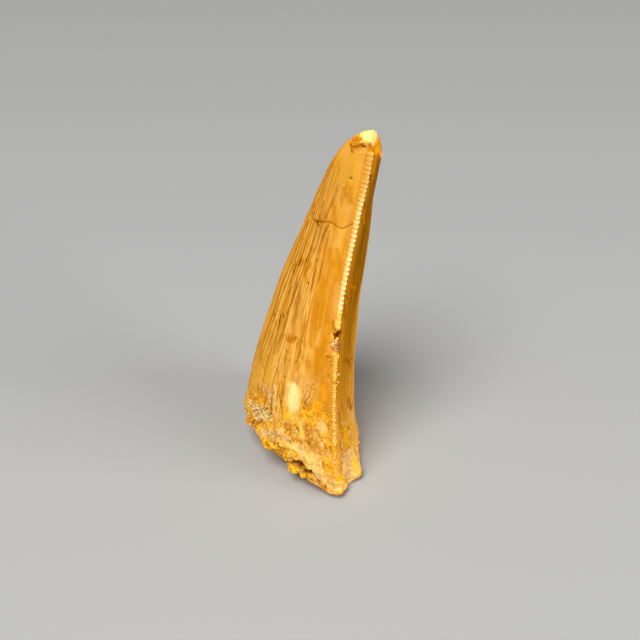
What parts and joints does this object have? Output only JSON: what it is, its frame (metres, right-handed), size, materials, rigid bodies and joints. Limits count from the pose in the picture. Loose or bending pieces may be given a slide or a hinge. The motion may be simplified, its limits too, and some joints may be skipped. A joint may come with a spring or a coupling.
{
  "type": "fossil carcharodontosaurus tooth",
  "caption": "Curved blade-shaped fossil tooth crown with two serrated edges, a chipped tip and a crusted, broken base on which it stands.",
  "frame": {"origin": "on the worn flat under the broken base, which the tooth stands on", "axes": "+Z from the base towards the tip, -Y towards the distal (inner-curve) saw edge, -X towards the convex labial face"},
  "size_m": [0.012, 0.0218, 0.0416],
  "materials": {
    "enamel": "satin amber-gold fossil enamel with brown lengthwise striations",
    "matrix_crust": "matt sandy ochre and cream crust"
  },
  "bodies": {
    "root": {"tooth": "enamel"}
  },
  "joints": []
}
